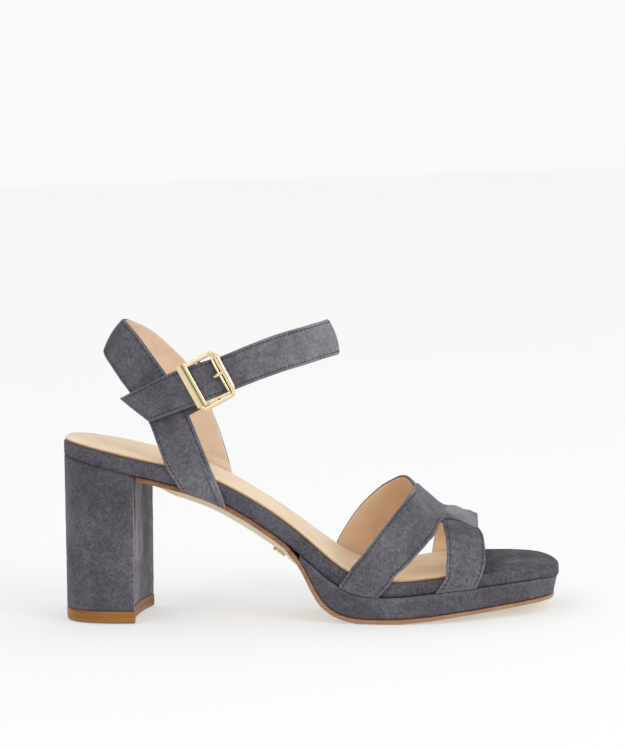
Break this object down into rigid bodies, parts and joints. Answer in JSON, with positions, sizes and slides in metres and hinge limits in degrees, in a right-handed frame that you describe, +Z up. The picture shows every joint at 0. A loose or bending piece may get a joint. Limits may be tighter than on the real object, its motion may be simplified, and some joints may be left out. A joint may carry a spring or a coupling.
{
  "type": "block heel sandal",
  "caption": "Women's right sandal with a platform forefoot, crossed vamp straps, heel band, buckled ankle strap and a straight block heel.",
  "frame": {"origin": "centre of the bounding box's footprint, on the floor the shoe stands on", "axes": "+X from heel to toe, +Y towards the inner side of the foot (a right shoe, so the wearer's left), +Z up"},
  "size_m": [0.2328, 0.0862, 0.1406],
  "materials": {
    "suede": "slate grey suede with a short nap",
    "sock": "smooth cream lining leather",
    "outsole": "tan, satin edge",
    "heel_tip": "amber tan, satin",
    "buckle": "polished pale gold plating"
  },
  "bodies": {
    "root": {"footbed": "suede", "insole_sock": "sock", "platform": "suede", "outsole": "outsole", "heel": "suede", "heel_tip": "heel_tip", "vamp_straps": "suede", "heel_band": "suede", "ankle_strap": "suede", "buckle_frame": "buckle", "buckle_prong": "buckle", "buckle_tab": "suede", "waist_stud": "buckle"}
  },
  "joints": []
}
